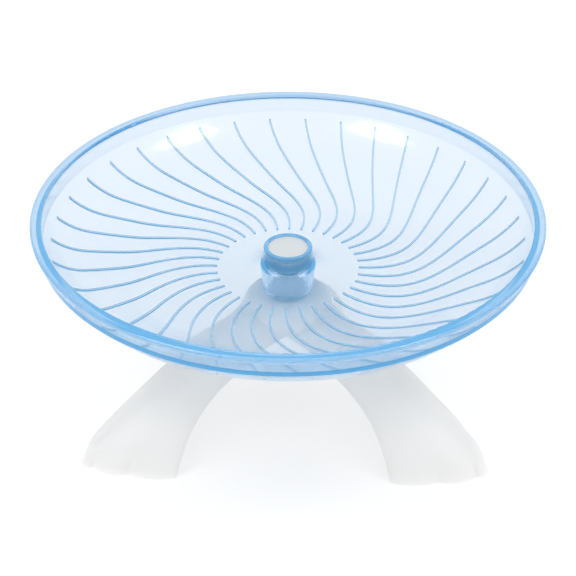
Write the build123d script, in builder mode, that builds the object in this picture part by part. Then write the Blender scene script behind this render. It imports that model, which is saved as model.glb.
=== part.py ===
from build123d import *

import os
from math import cos, radians, sin, sqrt

# Flying saucer running wheel for a hamster: a clear tinted bowl that spins flat on a
# ball bearing, on top of a frosted stand with three arched legs.
# Millimetres. The origin is on the table under the spin axis, +Z is up, and one leg
# points along +Y.

# Bowl
bowl_radius = 90.0
running_height = 60.0
bowl_wall = 1.8
flat_radius = 40.0
ramp_angle = 21.0
ramp_bend = 55.8
wall_angle = 54.0
wall_bend = 29.7
wall_run = 1.0
lip_width = 4.0
lip_thickness = 2.2
lip_height = 7.1
lip_inner_round = 0.7

# Ribs on the running surface
rib_count = 36
rib_phase = 1.0
rib_width = 0.75
rib_height = 0.5
rib_root = 0.5
rib_start_radius = 26.0
rib_end_radius = 83.3
rib_sweep = 26.2
# Each pair: share of the way out, share of the sweep
rib_course = [
    (0.0, 0.0),
    (0.1, 0.004),
    (0.21, 0.08),
    (0.37, 0.30),
    (0.52, 0.56),
    (0.68, 0.77),
    (0.84, 0.91),
    (1.0, 1.0),
]

# Hub of the bowl, heights counted from the running surface
hub_top = 9.2
hub_bottom = -9.0
hub_lip_radius = 8.8
hub_lip_height = 2.0
hub_lip_round = 0.6
hub_neck_radius = 8.4
hub_flare_radius = 19.0
hub_flare_height = 6.0
hub_flare_pull = 1.3
hub_skirt_radius = 9.4
hub_hollow_height = 0.6
hub_hollow_slope = 30.0
hub_mouth_wall = 1.6
hub_draft = 0.5
shoulder_thickness = 1.2
shoulder_radius = 5.2

# Ball bearing, 5 x 14 x 5
bearing_bore = 2.5
bearing_radius = 7.0
bearing_width = 5.0
bearing_height = 1.8
ball_radius = 1.0
ball_pitch_radius = 4.7
ball_count = 8
race_clearance = 0.04
land_gap = 0.7
cage_wall = 0.45
cage_height = 2.9
cage_clearance = 0.1
shield_thickness = 0.25
shield_inset = 0.15
shield_clearance = 0.12

# Cap that closes the mouth of the hub
cap_thickness = 0.8
cap_skirt = 0.9
cap_recess = 0.4
cap_crown = 0.3

# Spindle and what holds it
spindle_tip_gap = 0.3
spindle_chamfer = 0.3
spindle_head_radius = 4.6
spindle_head_height = 1.4
clip_thickness = 0.5
clip_groove_depth = 0.35
clip_wall = 1.0
clip_mouth = 2.4
thrust_washer_radius = 3.7
thrust_washer_thickness = 0.5
head_washer_radius = 5.2
head_washer_thickness = 0.5

# Stand
stand_wall = 2.0
stand_gap = 1.5
dome_radius = 16.3
dome_round = 6.0
dome_depth = 10.0
post_top_radius = 4.2
post_base_radius = 6.5
boss_radius = 6.5
boss_depth = 1.5
leg_count = 3
leg_root_depth = 2.5
leg_root_reach = 14.5
foot_reach = 83.8
foot_edge_reach = 57.7
leg_root_edge = 1.0
foot_half_width = 22.8
leg_root_half_width = 10.5
toe_bulge = 1.2
toe_creases = (0.575, 0.145)
foot_roundness = 1.45
leg_roundness = 2.3
leg_way_width = 12.0
leg_way_height = 3.5
# Each row: share of the way down, of the ridge's reach, of the edge's reach, of the
# width, and of the toes' bulge
leg_course = [
    (0.0, 0.0, 0.0, 0.0, 0.0),
    (0.105, 0.115, 0.055, 0.245, 0.0),
    (0.234, 0.239, 0.256, 0.276, 0.0),
    (0.362, 0.372, 0.499, 0.301, 0.0),
    (0.489, 0.509, 0.669, 0.39, 0.0),
    (0.617, 0.654, 0.79, 0.528, 0.0),
    (0.745, 0.806, 0.878, 0.683, 0.15),
    (0.872, 0.945, 0.945, 0.846, 0.5),
    (0.947, 0.985, 0.979, 0.935, 0.85),
    (1.0, 1.0, 1.0, 1.0, 1.0),
]

# Sizes that follow from the ones above
lip_inner_radius = bowl_radius - lip_width
wall_outer_radius = lip_inner_radius + bowl_wall
ramp_run = (
    lip_inner_radius
    - flat_radius
    - ramp_bend * sin(radians(ramp_angle))
    - wall_bend * (sin(radians(wall_angle)) - sin(radians(ramp_angle)))
    - wall_run * cos(radians(wall_angle))
) / cos(radians(ramp_angle))
hub_mouth_radius = hub_lip_radius - hub_mouth_wall
hub_top_z = running_height + hub_top
hub_bottom_z = running_height + hub_bottom
bearing_z = running_height + bearing_height
bearing_top_z = bearing_z + bearing_width
bearing_middle_z = bearing_z + bearing_width / 2
shoulder_z = bearing_z - shoulder_thickness
cap_top_z = hub_top_z - cap_recess
cap_inside_z = cap_top_z - cap_thickness
spindle_tip_z = cap_inside_z - spindle_tip_gap
dome_top_z = hub_bottom_z - stand_gap
dome_bottom_z = dome_top_z - dome_depth
boss_bottom_z = dome_top_z - stand_wall - boss_depth
head_washer_z = boss_bottom_z - head_washer_thickness
spindle_head_z = head_washer_z - spindle_head_height
thrust_washer_z = bearing_z - thrust_washer_thickness
leg_root_z = dome_top_z - leg_root_depth
outer_land_radius = ball_pitch_radius + land_gap
inner_land_radius = ball_pitch_radius - land_gap


def bowl_curve(start_radius, depth):
    """Draw the bowl's section at a depth under the running surface; return its end."""
    level = running_height - depth
    ramp_dir = Vector(cos(radians(ramp_angle)), sin(radians(ramp_angle)))
    wall_dir = Vector(cos(radians(wall_angle)), sin(radians(wall_angle)))
    flat = Line((start_radius, level), (flat_radius, level))
    ramp_in = JernArc(flat @ 1, (1, 0), ramp_bend + depth, ramp_angle)
    ramp = Line(ramp_in @ 1, (ramp_in @ 1) + ramp_dir * ramp_run)
    wall_in = JernArc(ramp @ 1, ramp_dir, wall_bend + depth, wall_angle - ramp_angle)
    wall = Line(wall_in @ 1, (wall_in @ 1) + wall_dir * wall_run)
    return wall @ 1


def rib_point(share_out, share_swept):
    """Point of a rib's middle line in plan."""
    radius = rib_start_radius + (rib_end_radius - rib_start_radius) * share_out
    angle = radians(rib_phase + rib_sweep * share_swept)
    return (radius * cos(angle), radius * sin(angle))


# One rib: an S-shaped strip in plan, cut to a thin layer that follows the bowl
with BuildPart() as rib:
    with BuildSketch():
        with BuildLine():
            Spline([rib_point(*share) for share in rib_course])
        trace(line_width=rib_width)
        for share in (rib_course[0], rib_course[-1]):
            with Locations(rib_point(*share)):
                Circle(rib_width / 2)
    extrude(amount=running_height + bowl_radius)
    with BuildSketch(Plane.XZ):
        with BuildLine():
            layer_start = rib_start_radius - rib_width
            layer_top = bowl_curve(layer_start, -rib_height)
            layer_bottom = bowl_curve(layer_start, rib_root)
            Line((layer_start, running_height + rib_height), (layer_start, running_height - rib_root))
            Line(layer_top, layer_bottom)
        make_face()
    revolve(axis=Axis.Z, mode=Mode.INTERSECT)

# Saucer: bowl, lip and hub in one moulding
with BuildPart() as saucer:
    with BuildSketch(Plane.XZ):
        with BuildLine():
            inner_end = bowl_curve(hub_flare_radius, 0)
            lip_top_z = inner_end.Y + lip_height
            lip_round = lip_thickness / 2
            lip_low_z = lip_top_z - lip_thickness
            # Flange of the lip: rounded inside, full round outside, flat underneath
            Line(inner_end, (lip_inner_radius, lip_top_z - lip_inner_round))
            JernArc((lip_inner_radius, lip_top_z - lip_inner_round), (0, 1), lip_inner_round, -90)
            Line((lip_inner_radius + lip_inner_round, lip_top_z), (bowl_radius - lip_round, lip_top_z))
            ThreePointArc(
                (bowl_radius - lip_round, lip_top_z),
                (bowl_radius, lip_top_z - lip_round),
                (bowl_radius - lip_round, lip_low_z),
            )
            outer_end = bowl_curve(hub_flare_radius, bowl_wall)
            wall_ledge = wall_outer_radius - outer_end.X
            Polyline(
                (bowl_radius - lip_round, lip_low_z),
                (wall_outer_radius, lip_low_z),
                (wall_outer_radius, outer_end.Y + wall_ledge),
                outer_end,
            )
            # Flare and lip of the hub
            neck_low = (hub_neck_radius, running_height + hub_flare_height)
            bead_low = hub_top_z - hub_lip_height
            neck_high = (hub_neck_radius, bead_low - (hub_lip_radius - hub_neck_radius))
            Spline(
                (hub_flare_radius, running_height),
                neck_low,
                tangents=[(-1, 0), (0, 1)],
                tangent_scalars=[hub_flare_pull, 1.0],
            )
            Line(neck_low, neck_high)
            Line(neck_high, (hub_lip_radius, bead_low))
            Line((hub_lip_radius, bead_low), (hub_lip_radius, hub_top_z - hub_lip_round))
            JernArc((hub_lip_radius, hub_top_z - hub_lip_round), (0, 1), hub_lip_round, 90)
            Line((hub_lip_radius - hub_lip_round, hub_top_z), (hub_mouth_radius + hub_lip_round, hub_top_z))
            JernArc((hub_mouth_radius + hub_lip_round, hub_top_z), (-1, 0), hub_lip_round, 90)
            # Bore: mouth, bearing seat, shoulder and skirt
            skirt_top = (hub_skirt_radius, running_height + hub_hollow_height)
            Polyline(
                (hub_mouth_radius, hub_top_z - hub_lip_round),
                (hub_mouth_radius, bearing_top_z),
                (bearing_radius, bearing_top_z),
                (bearing_radius, bearing_z),
                (shoulder_radius, bearing_z),
                (shoulder_radius, shoulder_z),
                (bearing_radius, shoulder_z),
                (bearing_radius + hub_draft, hub_bottom_z),
                (hub_skirt_radius, hub_bottom_z),
                skirt_top,
            )
            # Underside of the flare, a shallow hollow around the skirt
            hollow_slope = radians(hub_hollow_slope)
            Spline(
                skirt_top,
                (hub_flare_radius, running_height - bowl_wall),
                tangents=[(cos(hollow_slope), -sin(hollow_slope)), (1, 0)],
            )
        make_face()
    revolve(axis=Axis.Z)
    with PolarLocations(0, rib_count):
        add(rib.part)

# Cap: a crowned disc with a short skirt that stands on the bearing
with BuildPart() as hub_cap:
    with BuildSketch(Plane.XZ):
        with BuildLine():
            cap_edge_z = cap_top_z - cap_crown
            Polyline(
                (0, cap_top_z),
                (0, cap_inside_z),
                (hub_mouth_radius - cap_skirt, cap_inside_z),
                (hub_mouth_radius - cap_skirt, bearing_top_z),
                (hub_mouth_radius, bearing_top_z),
                (hub_mouth_radius, cap_edge_z),
            )
            crown_radius = (hub_mouth_radius**2 + cap_crown**2) / (2 * cap_crown)
            RadiusArc((hub_mouth_radius, cap_edge_z), (0, cap_top_z), -crown_radius)
        make_face()
    revolve(axis=Axis.Z)

# Bearing rings, each with a groove for the balls and the outer one with steps for shields
groove_radius = ball_radius + race_clearance
shield_seat_radius = outer_land_radius + shield_thickness
shield_depth = shield_inset + shield_thickness
with BuildPart() as bearing_outer_ring:
    with BuildSketch(Plane.XZ):
        with BuildLine():
            Polyline(
                (bearing_radius, bearing_z),
                (bearing_radius, bearing_top_z),
                (shield_seat_radius, bearing_top_z),
                (shield_seat_radius, bearing_top_z - shield_depth),
                (outer_land_radius, bearing_top_z - shield_depth),
                (outer_land_radius, bearing_z + shield_depth),
                (shield_seat_radius, bearing_z + shield_depth),
                (shield_seat_radius, bearing_z),
                (bearing_radius, bearing_z),
            )
        make_face()
    revolve(axis=Axis.Z)
    with BuildSketch(Plane.XZ):
        with Locations((ball_pitch_radius, bearing_middle_z)):
            Circle(groove_radius)
    revolve(axis=Axis.Z, mode=Mode.SUBTRACT)

with BuildPart() as bearing_inner_ring:
    with BuildSketch(Plane.XY.offset(bearing_z)):
        Circle(inner_land_radius)
        Circle(bearing_bore, mode=Mode.SUBTRACT)
    extrude(amount=bearing_width)
    with BuildSketch(Plane.XZ):
        with Locations((ball_pitch_radius, bearing_middle_z)):
            Circle(groove_radius)
    revolve(axis=Axis.Z, mode=Mode.SUBTRACT)

with BuildPart() as bearing_balls:
    with Locations((0, 0, bearing_middle_z)):
        with PolarLocations(ball_pitch_radius, ball_count):
            Sphere(ball_radius)

with BuildPart() as bearing_cage:
    with BuildSketch(Plane.XY.offset(bearing_middle_z - cage_height / 2)):
        Circle(ball_pitch_radius + cage_wall)
        Circle(ball_pitch_radius - cage_wall, mode=Mode.SUBTRACT)
    extrude(amount=cage_height)
    with Locations((0, 0, bearing_middle_z)):
        with PolarLocations(ball_pitch_radius, ball_count):
            Cylinder(
                ball_radius + cage_clearance,
                4 * cage_wall,
                rotation=(0, 90, 0),
                mode=Mode.SUBTRACT,
            )


def make_shield(low_z):
    """Flat ring that closes one side of the bearing, carried by the outer ring."""
    with BuildPart() as shield:
        with BuildSketch(Plane.XY.offset(low_z)):
            Circle(shield_seat_radius)
            Circle(inner_land_radius + shield_clearance, mode=Mode.SUBTRACT)
        extrude(amount=shield_thickness)
    return shield.part


upper_shield = make_shield(bearing_top_z - shield_depth)
lower_shield = make_shield(bearing_z + shield_inset)

# Spindle: a headed pin pushed up through the post, with a groove for the clip
clip_z = bearing_top_z
with BuildPart() as spindle:
    with BuildSketch(Plane.XZ):
        with BuildLine():
            groove = bearing_bore - clip_groove_depth
            Polyline(
                (0, spindle_head_z),
                (spindle_head_radius - spindle_chamfer, spindle_head_z),
                (spindle_head_radius, spindle_head_z + spindle_chamfer),
                (spindle_head_radius, head_washer_z),
                (bearing_bore, head_washer_z),
                (bearing_bore, clip_z),
                (groove, clip_z),
                (groove, clip_z + clip_thickness),
                (bearing_bore, clip_z + clip_thickness),
                (bearing_bore, spindle_tip_z - spindle_chamfer),
                (bearing_bore - spindle_chamfer, spindle_tip_z),
                (0, spindle_tip_z),
                (0, spindle_head_z),
            )
        make_face()
    revolve(axis=Axis.Z)

with BuildPart() as retaining_clip:
    with BuildSketch(Plane.XY.offset(clip_z)):
        Circle(bearing_bore + clip_wall)
        Circle(bearing_bore - clip_groove_depth, mode=Mode.SUBTRACT)
        with Locations((bearing_bore + clip_wall / 2, 0)):
            Rectangle(2 * clip_wall + bearing_bore, clip_mouth, mode=Mode.SUBTRACT)
    extrude(amount=clip_thickness)


def make_washer(low_z, radius, thickness):
    """Flat washer on the spindle."""
    with BuildPart() as washer:
        with BuildSketch(Plane.XY.offset(low_z)):
            Circle(radius)
            Circle(bearing_bore, mode=Mode.SUBTRACT)
        extrude(amount=thickness)
    return washer.part


thrust_washer = make_washer(thrust_washer_z, thrust_washer_radius, thrust_washer_thickness)
head_washer = make_washer(head_washer_z, head_washer_radius, head_washer_thickness)


def between(low, high, share):
    """Value a share of the way from low to high."""
    return low + (high - low) * share


def ridge_slope(index):
    """Run of a leg's ridge per unit of its fall, near one station."""
    before = leg_course[max(index - 1, 0)]
    after = leg_course[min(index + 1, len(leg_course) - 1)]
    run = (after[1] - before[1]) * (foot_reach - leg_root_reach)
    fall = (after[0] - before[0]) * leg_root_z
    return run / fall


def leg_station(index, inset):
    """Height, ridge, edge, half width, bulge and roundness of a leg's section."""
    down, ridge_share, edge_share, width_share, bulge_share = leg_course[index]
    height = between(leg_root_z, 0, down)
    depth = inset * sqrt(1 + ridge_slope(index) ** 2)
    ridge = between(leg_root_reach, foot_reach, ridge_share) - depth
    edge = between(leg_root_edge, foot_edge_reach, edge_share)
    half_width = between(leg_root_half_width, foot_half_width, width_share) - inset
    roundness = between(leg_roundness, foot_roundness, down)
    return height, ridge, edge, half_width, toe_bulge * bulge_share, roundness


def toe_curve(index, inset):
    """Ends and middles of the five toe arcs of a level section, edge to edge."""
    height, ridge, edge, half_width, bulge, roundness = leg_station(index, inset)

    def on_curve(share):
        rise = (ridge - edge) * (1 - abs(share) ** roundness)
        return Vector(half_width * share, edge + rise)

    outer_crease, inner_crease = toe_creases
    stops = [1, outer_crease, inner_crease, -inner_crease, -outer_crease, -1]
    arcs = []
    for start, stop in zip(stops, stops[1:]):
        chord = (on_curve(stop) - on_curve(start)).normalized()
        outward = Vector(-chord.Y, chord.X) * -bulge
        arcs.append((on_curve(start), on_curve((start + stop) / 2) + outward, on_curve(stop)))
    return arcs


def leg_section(index):
    """Sketch of a leg's level section: a sheet with five toe arcs, open at the back."""
    height = leg_station(index, 0)[0]
    outside_arcs = toe_curve(index, 0)
    inside_arcs = toe_curve(index, stand_wall)
    with BuildSketch(Plane.XY.offset(height)) as section:
        with BuildLine():
            for arc in outside_arcs + inside_arcs:
                ThreePointArc(*arc)
            Line(outside_arcs[0][0], inside_arcs[0][0])
            Line(outside_arcs[-1][2], inside_arcs[-1][2])
        make_face()
    return section.sketch


with BuildPart() as leg:
    add([leg_section(row) for row in range(len(leg_course))])
    loft()


def dome_outline(inset, foot_z):
    """Draw half of the dome's section, a wall's inset inside its skin, down to a height."""
    top = dome_top_z - inset
    radius = dome_radius - inset
    rounding = dome_round - inset
    Line((0, top), (radius - rounding, top))
    JernArc((radius - rounding, top), (1, 0), rounding, -90)
    Polyline((radius, top - rounding), (radius, foot_z), (0, foot_z), (0, top))


# Stand: a round-shouldered dome on three shell legs, with the post for the bearing
with BuildPart() as stand:
    with BuildSketch(Plane.XZ):
        with BuildLine():
            dome_outline(0, dome_bottom_z)
        make_face()
    revolve(axis=Axis.Z)
    with PolarLocations(0, leg_count):
        add(leg.part)
    with BuildSketch(Plane.XZ):
        with BuildLine():
            dome_outline(stand_wall, dome_bottom_z - stand_wall)
        make_face()
    revolve(axis=Axis.Z, mode=Mode.SUBTRACT)
    # Way through the dome's skirt into the hollow of each leg
    with BuildSketch(Plane.XY.offset(dome_bottom_z - stand_wall)):
        with PolarLocations(dome_radius - stand_wall / 2, leg_count, start_angle=90):
            Rectangle(3 * stand_wall, leg_way_width)
    extrude(amount=leg_way_height + stand_wall, mode=Mode.SUBTRACT)
    with BuildSketch(Plane.XZ):
        Polygon(
            (0, thrust_washer_z),
            (post_top_radius, thrust_washer_z),
            (post_base_radius, dome_top_z),
            (boss_radius, boss_bottom_z),
            (0, boss_bottom_z),
            align=None,
        )
    revolve(axis=Axis.Z)
    with Locations((0, 0, thrust_washer_z)):
        Hole(bearing_bore, depth=thrust_washer_z - boss_bottom_z)

pieces = {
    "saucer": saucer.part,
    "hub_cap": hub_cap.part,
    "bearing_outer_ring": bearing_outer_ring.part,
    "bearing_inner_ring": bearing_inner_ring.part,
    "bearing_balls": bearing_balls.part,
    "bearing_cage": bearing_cage.part,
    "bearing_upper_shield": upper_shield,
    "bearing_lower_shield": lower_shield,
    "spindle": spindle.part,
    "retaining_clip": retaining_clip.part,
    "thrust_washer": thrust_washer,
    "head_washer": head_washer,
    "stand": stand.part,
}

os.makedirs("parts", exist_ok=True)
for name, piece in pieces.items():
    piece.label = name
    export_step(piece, "parts/" + name + ".step")
    box = piece.bounding_box()
    print(name, "volume", round(piece.volume, 1), "size", box.size)
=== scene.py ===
"""Clear running saucer on its frosted stand: finishes, floor, studio light and camera."""

import logging
import math
from dataclasses import dataclass, field
from enum import Enum
from typing import Any, Iterable, Optional

import bpy
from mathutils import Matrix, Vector


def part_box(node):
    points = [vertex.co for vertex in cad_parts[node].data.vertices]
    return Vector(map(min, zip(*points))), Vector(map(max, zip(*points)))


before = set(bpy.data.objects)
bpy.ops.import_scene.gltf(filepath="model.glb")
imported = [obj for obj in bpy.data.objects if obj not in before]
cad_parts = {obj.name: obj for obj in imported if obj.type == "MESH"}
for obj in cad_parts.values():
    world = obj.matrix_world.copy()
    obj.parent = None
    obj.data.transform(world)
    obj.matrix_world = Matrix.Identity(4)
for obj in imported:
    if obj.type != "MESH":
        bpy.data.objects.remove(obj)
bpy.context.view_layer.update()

MM = 0.001
LIGHT_BOUNCES = 24
log = logging.getLogger("saucer_wheel")

Colour = tuple[float, float, float]


class Grain(Enum):
    """How a metal piece was made, which sets the run of its fine marks."""

    TURNED = "turned"
    ROLLED = "rolled"
    POLISHED = "polished"


class Value:
    """A shader socket that can be used in sums; every operation adds one Math node."""

    def __init__(self, book: "Recipe", socket: bpy.types.NodeSocket) -> None:
        """Wrap an output socket of a recipe's node tree.

        Args:
            book: The recipe that owns the node tree.
            socket: The output socket to wrap.
        """
        self.book = book
        self.socket = socket

    def _with(self, operation: str, other: Any, swapped: bool = False) -> "Value":
        """Add a Math node between this value and another.

        Args:
            operation: The Math node's operation.
            other: A value or a number.
            swapped: True if the other stands on the left.

        Returns:
            The result as a value.
        """
        pair = (other, self) if swapped else (self, other)
        return self.book.node("ShaderNodeMath", {"operation": operation}, {0: pair[0], 1: pair[1]})

    def __add__(self, other: Any) -> "Value":
        """Sum."""
        return self._with("ADD", other)

    __radd__ = __add__

    def __sub__(self, other: Any) -> "Value":
        """Difference."""
        return self._with("SUBTRACT", other)

    def __rsub__(self, other: Any) -> "Value":
        """Difference, with the number on the left."""
        return self._with("SUBTRACT", other, swapped=True)

    def __mul__(self, other: Any) -> "Value":
        """Product."""
        return self._with("MULTIPLY", other)

    __rmul__ = __mul__

    def __pow__(self, other: Any) -> "Value":
        """Power."""
        return self._with("POWER", other)

    def held(self, low: float, high: float) -> "Value":
        """The value, kept between two numbers."""
        return self._with("MAXIMUM", low)._with("MINIMUM", high)

    def rise(self, start: float, end: float) -> "Value":
        """A smooth step from 0 at the start to 1 at the end."""
        settings = {"interpolation_type": "SMOOTHSTEP"}
        return self.book.node("ShaderNodeMapRange", settings, {0: self, 1: start, 2: end})


class Recipe:
    """A material under construction: its node tree, and one method that adds nodes."""

    def __init__(self, name: str) -> None:
        """Start an empty material.

        Args:
            name: The material's name.
        """
        self.material = bpy.data.materials.new(name)
        self.material.use_nodes = True
        self.tree = self.material.node_tree
        self.tree.nodes.clear()

    def node(
        self,
        kind: str,
        settings: Optional[dict[str, Any]] = None,
        inputs: Optional[dict[Any, Any]] = None,
        output: Any = 0,
    ) -> Value:
        """Add a node, set it up and link it.

        Args:
            kind: The node's type.
            settings: Attributes to set first; "stops" gives a ramp's stops.
            inputs: Numbers, colours or values for its sockets, by name or index.
            output: The output to return, by name or index.

        Returns:
            The chosen output as a value.
        """
        made = self.tree.nodes.new(kind)
        for key, value in (settings or {}).items():
            if key == "stops":
                self._fill_ramp(made.color_ramp, value)
            else:
                setattr(made, key, value)
        for key, value in (inputs or {}).items():
            if isinstance(value, Value):
                self.tree.links.new(value.socket, made.inputs[key])
            else:
                made.inputs[key].default_value = value
        return Value(self, made.outputs[output])

    @staticmethod
    def _fill_ramp(ramp: bpy.types.ColorRamp, stops: Iterable[tuple[float, Colour]]) -> None:
        """Give a colour ramp its stops.

        Args:
            ramp: The ramp to fill.
            stops: Places and colours, in order, two or more.
        """
        for index, (place, colour) in enumerate(stops):
            stop = ramp.elements[index] if index < 2 else ramp.elements.new(place)
            stop.position = place
            stop.color = (*colour, 1.0)

    def place(self) -> Value:
        """Object coordinates, in metres in the part's own frame."""
        return self.node("ShaderNodeTexCoord", output="Object")

    def speckle(self, scale: float, detail: float = 3.0, roughness: float = 0.5) -> Value:
        """Noise from 0 to 1.

        Args:
            scale: Cells per metre.
            detail: Octaves.
            roughness: How much the fine octaves count.

        Returns:
            The noise as a value.
        """
        inputs = {"Vector": self.place(), "Scale": scale, "Detail": detail, "Roughness": roughness}
        return self.node("ShaderNodeTexNoise", inputs=inputs)

    def blend(self, share: Value, low: Colour, high: Colour) -> Value:
        """Mix two colours.

        Args:
            share: How much of the second colour.
            low: The colour where the share is 0.
            high: The colour where the share is 1.

        Returns:
            The mixed colour.
        """
        stops = [(0.0, low), (1.0, high)]
        return self.node("ShaderNodeValToRGB", {"stops": stops}, {0: share})

    def radius(self) -> Value:
        """Distance from the spin axis, in metres."""
        flat = self.node("ShaderNodeVectorMath", {"operation": "MULTIPLY"}, {0: self.place(), 1: (1, 1, 0)})
        return self.node("ShaderNodeVectorMath", {"operation": "LENGTH"}, {0: flat}, "Value")

    def height(self) -> Value:
        """Height above the floor, in metres."""
        return self.node("ShaderNodeSeparateXYZ", inputs={0: self.place()}, output="Z")

    def mix(self, share: Any, low: Value, high: Value) -> Value:
        """Mix two shaders.

        Args:
            share: How much of the second shader.
            low: The shader where the share is 0.
            high: The shader where the share is 1.

        Returns:
            The mixed shader.
        """
        return self.node("ShaderNodeMixShader", inputs={0: share, 1: low, 2: high})

    def bump(self, height: Value, strength: float, distance: float) -> Value:
        """Normal from a height.

        Args:
            height: The height, from 0 to 1.
            strength: The bump's strength.
            distance: The depth in metres that a height of 1 means.

        Returns:
            The normal.
        """
        inputs = {"Strength": strength, "Distance": distance, "Height": height}
        return self.node("ShaderNodeBump", inputs=inputs)

    def finish(self, surface: Value, volume: Optional[Value] = None) -> bpy.types.Material:
        """Link the shaders to the output.

        Args:
            surface: The surface shader.
            volume: The volume shader, where the piece is clear.

        Returns:
            The finished material.
        """
        made = self.tree.nodes.new("ShaderNodeOutputMaterial")
        self.tree.links.new(surface.socket, made.inputs["Surface"])
        if volume is not None:
            self.tree.links.new(volume.socket, made.inputs["Volume"])
        return self.material


@dataclass(frozen=True)
class BowlCourse:
    """The bowl's inner section, which tells the ribs and the lip from the thin wall."""

    floor: float = 60.0 * MM
    flat: float = 40.0 * MM
    ramp_bend: float = 55.8 * MM
    ramp_angle: float = math.radians(21.0)
    wall_bend: float = 29.7 * MM
    wall_angle: float = math.radians(54.0)
    wall_run: float = 1.0 * MM
    lip_inner: float = 86.0 * MM

    def surface(self, radius: Value) -> Value:
        """Height of the running surface above the floor, at a distance from the axis.

        Args:
            radius: Distance from the axis.

        Returns:
            The height.
        """
        bend_end = self.flat + self.ramp_bend * math.sin(self.ramp_angle)
        wall_start = self.lip_inner - self.wall_run * math.cos(self.wall_angle)
        wall_turn = self.wall_bend * (math.sin(self.wall_angle) - math.sin(self.ramp_angle))
        ramp_end = wall_start - wall_turn
        wall_centre = ramp_end - self.wall_bend * math.sin(self.ramp_angle)
        first = radius.held(self.flat, bend_end) - self.flat
        second = radius.held(ramp_end, wall_start) - wall_centre
        arc = self.ramp_bend - (self.ramp_bend**2 - first * first) ** 0.5
        ramp = (radius.held(bend_end, ramp_end) - bend_end) * math.tan(self.ramp_angle)
        turn = self.wall_bend * math.cos(self.ramp_angle) - (self.wall_bend**2 - second * second) ** 0.5
        wall = (radius.held(wall_start, 1.0) - wall_start) * math.tan(self.wall_angle)
        return arc + ramp + turn + wall + self.floor


@dataclass(frozen=True)
class ClearTint:
    """Clear plastic, lightly tinted blue: pale where it is thin, deep along its ribs and rims.

    The inside takes up some of the light that crosses a wall and also glows blue of its own, a
    painted glow, so a long way through the plastic ends at the deep colour and never at black.
    """

    name: str = "tinted_clear"
    course: BowlCourse = field(default_factory=BowlCourse)
    handled: Colour = (0.93, 0.965, 0.995)
    clean: Colour = (0.96, 0.985, 1.0)
    # deep: the colour of the painted glow that the plastic's inside gives out
    deep: Colour = (0.085, 0.40, 0.76)
    rib_tone: Colour = (0.15, 0.42, 0.64)
    rim_tone: Colour = (0.12, 0.45, 0.78)
    # sets both how fast the inside takes up light and how strong its painted glow is
    absorption_and_glow_density: float = 120.0
    index: float = 1.3
    gloss: float = 0.04
    smear: float = 0.06
    ripple_scale: float = 55.0
    ripple_strength: float = 0.2
    ripple_depth: float = 0.02 * MM
    handling_scale: float = 240.0
    coat: float = 0.6
    shell_haze: float = 0.2
    body_haze: float = 0.1
    body_matt: float = 0.2
    rib_cover: float = 0.55
    lip_cover: float = 0.30
    ring_cover: float = 0.50
    rib_rise: tuple[float, float] = (0.12 * MM, 0.3 * MM)
    rib_start: float = 25.0 * MM
    rib_end: float = 84.5 * MM
    lip_start: float = 85.9 * MM
    lip_low: float = 84.2 * MM
    ring_low: float = 67.1 * MM
    ring_radius: float = 9.4 * MM
    soft_step: float = 0.2 * MM

    def _inside(self, value: Value, edge: float) -> Value:
        """1 under the edge and 0 over it, with a soft step."""
        return 1.0 - value.rise(edge, edge + self.soft_step)

    def _outside(self, value: Value, edge: float) -> Value:
        """0 under the edge and 1 over it, with a soft step."""
        return value.rise(edge, edge + self.soft_step)

    def make(self) -> bpy.types.Material:
        """Build the material."""
        book = Recipe(self.name)
        radius = book.radius()
        height = book.height()
        ripple = book.speckle(self.ripple_scale, 2.0)
        handling = book.speckle(self.handling_scale, 5.0, 0.6)
        proud = (height - self.course.surface(radius)).rise(*self.rib_rise)
        ribs = proud * self._outside(radius, self.rib_start) * self._inside(radius, self.rib_end)
        lip = self._outside(radius, self.lip_start) * self._outside(height, self.lip_low)
        ring = self._inside(radius, self.ring_radius) * self._outside(height, self.ring_low)
        normal = book.bump(ripple, self.ripple_strength, self.ripple_depth)
        gloss = self.gloss + handling * self.smear
        shell = book.node(
            "ShaderNodeBsdfPrincipled",
            inputs={
                "Base Color": book.blend(handling, self.handled, self.clean),
                "Roughness": gloss,
                "IOR": self.index,
                "Transmission Weight": 1.0,
                "Coat Weight": self.coat,
                "Coat Roughness": self.shell_haze,
                "Normal": normal,
            },
        )
        body = book.node(
            "ShaderNodeBsdfPrincipled",
            inputs={
                "Base Color": book.blend(ribs, self.rim_tone, self.rib_tone),
                "Roughness": gloss + self.body_matt,
                "Coat Weight": self.coat,
                "Coat Roughness": self.body_haze,
                "Normal": normal,
            },
        )
        cover = ribs * self.rib_cover + lip * self.lip_cover + ring * self.ring_cover
        taken = book.node(
            "ShaderNodeVolumeAbsorption",
            inputs={"Color": (0.0, 0.0, 0.0, 1.0), "Density": self.absorption_and_glow_density},
        )
        # painted glow: the inside of the plastic gives out its own blue light, though it is no lamp
        painted_glow = book.node(
            "ShaderNodeEmission",
            inputs={"Color": (*self.deep, 1.0), "Strength": self.absorption_and_glow_density},
        )
        volume = book.node("ShaderNodeAddShader", inputs={0: taken, 1: painted_glow})
        return book.finish(book.mix(cover.held(0.0, 1.0), shell, body), volume)


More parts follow.
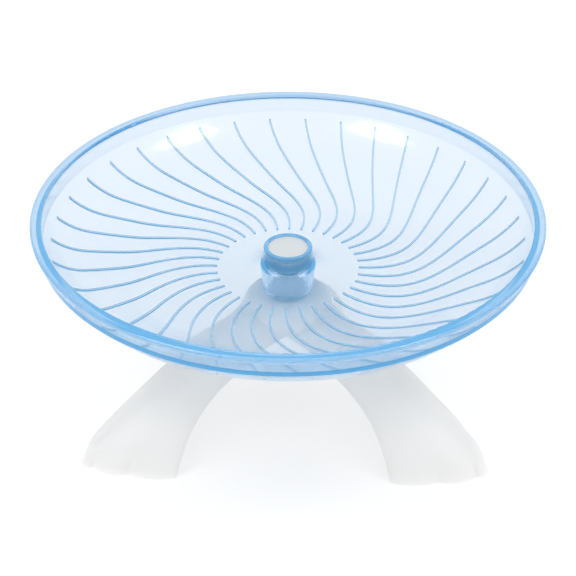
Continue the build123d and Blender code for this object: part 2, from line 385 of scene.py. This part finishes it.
@dataclass(frozen=True)
class Frosted:
    """Pale moulded plastic with a fine matt grain that lets some light through."""

    name: str
    pale: Colour
    deep: Colour
    see_through: float
    matt: float = 0.42
    matt_spread: float = 0.12
    cloud_scale: float = 38.0
    grain_size: float = 0.35 * MM
    grain_strength: float = 0.35
    grain_depth: float = 0.03 * MM
    index: float = 1.49

    def make(self) -> bpy.types.Material:
        """Build the material."""
        book = Recipe(self.name)
        cloud = book.speckle(self.cloud_scale, 3.0, 0.55)
        grain = book.speckle(1.0 / self.grain_size, 2.0)
        shell = book.node(
            "ShaderNodeBsdfPrincipled",
            inputs={
                "Base Color": book.blend(cloud, self.deep, self.pale),
                "Roughness": self.matt + cloud * self.matt_spread,
                "IOR": self.index,
                "Transmission Weight": self.see_through,
                "Normal": book.bump(grain, self.grain_strength, self.grain_depth),
            },
        )
        return book.finish(shell)


@dataclass(frozen=True)
class Steel:
    """Bare metal with the fine marks of how it was made."""

    name: str
    colour: Colour
    grain: Grain
    roughness: float = 0.25
    pitch: float = 0.12 * MM
    wear_scale: float = 900.0
    rolled_stretch: tuple[float, float, float] = (400.0, 6000.0, 400.0)
    worn_share: float = 0.8
    roughness_spread: float = 0.12
    mark_strength: float = 0.15
    mark_depth: float = 0.004 * MM

    def make(self) -> bpy.types.Material:
        """Build the material."""
        book = Recipe(self.name)
        wear = book.speckle(self.wear_scale, 4.0, 0.6)
        if self.grain is Grain.TURNED:
            rings = book.node(
                "ShaderNodeMath",
                {"operation": "SINE"},
                {0: book.radius() * (2.0 * math.pi / self.pitch)},
            )
            marks = rings * 0.5 + 0.5
        elif self.grain is Grain.ROLLED:
            stretched = book.node(
                "ShaderNodeVectorMath",
                {"operation": "MULTIPLY"},
                {0: book.place(), 1: self.rolled_stretch},
            )
            marks = book.node("ShaderNodeTexNoise", inputs={"Vector": stretched, "Scale": 1.0})
        else:
            marks = wear
        dark = tuple(self.worn_share * share for share in self.colour)
        shell = book.node(
            "ShaderNodeBsdfPrincipled",
            inputs={
                "Base Color": book.blend(wear, dark, self.colour),
                "Metallic": 1.0,
                "Roughness": self.roughness + marks * self.roughness_spread,
                "Normal": book.bump(marks, self.mark_strength, self.mark_depth),
            },
        )
        return book.finish(shell)


@dataclass(frozen=True)
class Nylon:
    """Plain moulded nylon with a faint mottling."""

    name: str
    colour: Colour
    mottle_scale: float = 1500.0
    mottle_strength: float = 0.2
    mottle_depth: float = 0.01 * MM
    dark_share: float = 0.82
    matt: float = 0.45
    matt_spread: float = 0.15

    def make(self) -> bpy.types.Material:
        """Build the material."""
        book = Recipe(self.name)
        mottle = book.speckle(self.mottle_scale, 3.0)
        dark = tuple(self.dark_share * share for share in self.colour)
        shell = book.node(
            "ShaderNodeBsdfPrincipled",
            inputs={
                "Base Color": book.blend(mottle, dark, self.colour),
                "Roughness": self.matt + mottle * self.matt_spread,
                "Normal": book.bump(mottle, self.mottle_strength, self.mottle_depth),
            },
        )
        return book.finish(shell)


def dress(node: str, material: bpy.types.Material) -> None:
    """Give a CAD node its material.

    Args:
        node: The node's name.
        material: The finished material.
    """
    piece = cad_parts[node]
    piece.data.materials.clear()
    piece.data.materials.append(material)
    low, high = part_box(node)
    size = (high - low) / MM
    log.info("%s wears %s, %.1f x %.1f x %.1f mm", node, material.name, *size)


@dataclass
class Saucer:
    """The clear bowl with its ribs and hub, and the cap in the hub's mouth."""

    clear: ClearTint = field(default_factory=ClearTint)
    cap: Frosted = field(
        default_factory=lambda: Frosted("frosted_cap", (0.73, 0.77, 0.79), (0.68, 0.725, 0.75), 0.25)
    )

    def build(self) -> None:
        """Dress the bowl and the cap."""
        dress("saucer", self.clear.make())
        dress("hub_cap", self.cap.make())


@dataclass
class Stand:
    """The frosted dome with its post and three legs."""

    frosted: Frosted = field(
        default_factory=lambda: Frosted("frosted_stand", (0.97, 0.965, 0.955), (0.93, 0.925, 0.915), 0.35)
    )

    def build(self) -> None:
        """Dress the stand."""
        dress("stand", self.frosted.make())


@dataclass
class Bearing:
    """The ball bearing, the spindle through it and the washers and clip that hold it."""

    steels: dict[str, Steel] = field(
        default_factory=lambda: {
            "bearing_outer_ring": Steel("ground_ring", (0.62, 0.63, 0.65), Grain.TURNED, 0.2),
            "bearing_inner_ring": Steel("ground_sleeve", (0.62, 0.63, 0.65), Grain.TURNED, 0.2),
            "bearing_balls": Steel("polished_balls", (0.75, 0.76, 0.78), Grain.POLISHED, 0.06),
            "bearing_upper_shield": Steel("pressed_shield", (0.60, 0.61, 0.63), Grain.ROLLED, 0.28),
            "bearing_lower_shield": Steel("pressed_shield_low", (0.60, 0.61, 0.63), Grain.ROLLED, 0.28),
            "spindle": Steel("turned_spindle", (0.58, 0.59, 0.61), Grain.TURNED, 0.3),
            "retaining_clip": Steel("spring_clip", (0.25, 0.25, 0.27), Grain.ROLLED, 0.35),
            "head_washer": Steel("plated_washer", (0.66, 0.67, 0.69), Grain.ROLLED, 0.3),
        }
    )
    nylons: dict[str, Nylon] = field(
        default_factory=lambda: {
            "bearing_cage": Nylon("cage_nylon", (0.05, 0.06, 0.08)),
            "thrust_washer": Nylon("washer_nylon", (0.85, 0.85, 0.80)),
        }
    )

    def build(self) -> None:
        """Dress every piece of the bearing."""
        for node, finish in {**self.steels, **self.nylons}.items():
            dress(node, finish.make())


@dataclass
class Studio:
    """Pale floor that glows like a light table, soft light all round, two soft boxes and the camera."""

    floor_half: float = 3.0
    floor_cells: int = 8
    paper_scale: float = 9.0
    paper_dark: float = 0.985
    paper_matt: float = 0.9
    paper_matt_spread: float = 0.05
    paper_shine: float = 0.1
    floor_colour: Colour = (0.47, 0.47, 0.47)
    floor_glow: float = 0.53
    sky_strength: float = 0.95
    left_place: tuple[float, float, float] = (-0.47, -0.23, 0.88)
    right_place: tuple[float, float, float] = (0.52, -0.14, 0.88)
    box_size: tuple[float, float] = (0.42, 0.3)
    box_power: float = 2.0
    aim_height: float = 70.0 * MM
    picture_side: float = 576.0
    focal_pixels: float = 1326.8
    sensor: float = 36.0
    camera_out: float = 401.59 * MM
    camera_height: float = 326.93 * MM
    camera_turn: float = math.radians(2.1)
    camera_tilt: float = math.radians(34.52)

    def build(self) -> None:
        """Make the floor, the lights and the camera."""
        self._floor()
        self._sky()
        self._soft_box("left_box", self.left_place)
        self._soft_box("right_box", self.right_place)
        self._camera()

    def _floor(self) -> None:
        """Lay the floor, a wide flat sheet of paper."""
        bpy.ops.object.select_all(action="DESELECT")
        bpy.ops.mesh.primitive_grid_add(
            x_subdivisions=self.floor_cells,
            y_subdivisions=self.floor_cells,
            size=2 * self.floor_half,
        )
        floor = bpy.context.active_object
        floor.name = "studio_floor"
        book = Recipe("floor_paper")
        tone = book.speckle(self.paper_scale, 3.0)
        dark = tuple(self.paper_dark * share for share in self.floor_colour)
        paper = book.node(
            "ShaderNodeBsdfPrincipled",
            inputs={
                "Base Color": book.blend(tone, dark, self.floor_colour),
                "Roughness": self.paper_matt + tone * self.paper_matt_spread,
                "Specular IOR Level": self.paper_shine,
                "Emission Color": (1.0, 1.0, 1.0, 1.0),
                "Emission Strength": self.floor_glow,
            },
        )
        floor.data.materials.append(book.finish(paper))

    def _sky(self) -> None:
        """Fill the room with even white light."""
        world = bpy.data.worlds.new("soft_room")
        world.use_nodes = True
        back = world.node_tree.nodes["Background"]
        back.inputs["Color"].default_value = (1.0, 1.0, 1.0, 1.0)
        back.inputs["Strength"].default_value = self.sky_strength
        bpy.context.scene.world = world

    def _soft_box(self, name: str, place: tuple[float, float, float]) -> None:
        """Hang an oval light that faces the bowl.

        Args:
            name: The light's name.
            place: Where it hangs, in metres.
        """
        light = bpy.data.lights.new(name, "AREA")
        light.shape = "ELLIPSE"
        light.size, light.size_y = self.box_size
        light.energy = self.box_power
        lamp = bpy.data.objects.new(name, light)
        lamp.location = place
        aim = Vector((0.0, 0.0, self.aim_height)) - Vector(place)
        lamp.rotation_euler = aim.to_track_quat("-Z", "Y").to_euler()
        bpy.context.scene.collection.objects.link(lamp)

    def _camera(self) -> None:
        """Stand the camera at the photograph's viewing angle."""
        lens = bpy.data.cameras.new("photo_camera")
        lens.sensor_width = self.sensor
        lens.lens = self.sensor * self.focal_pixels / self.picture_side
        camera = bpy.data.objects.new("photo_camera", lens)
        camera.location = (
            self.camera_out * math.sin(self.camera_turn),
            -self.camera_out * math.cos(self.camera_turn),
            self.camera_height,
        )
        camera.rotation_euler = (math.pi / 2 - self.camera_tilt, 0.0, self.camera_turn)
        bpy.context.scene.collection.objects.link(camera)
        bpy.context.scene.camera = camera


def main() -> None:
    """Build the wheel's looks and the studio, and note the boxes' sizes."""
    logging.basicConfig(level=logging.INFO, format="%(name)s: %(message)s")
    bpy.context.scene.view_settings.view_transform = "Standard"
    bpy.context.scene.cycles.transmission_bounces = LIGHT_BOUNCES
    bpy.context.scene.cycles.max_bounces = LIGHT_BOUNCES
    Stand().build()
    Bearing().build()
    Saucer().build()
    Studio().build()


if __name__ == "__main__":
    main()
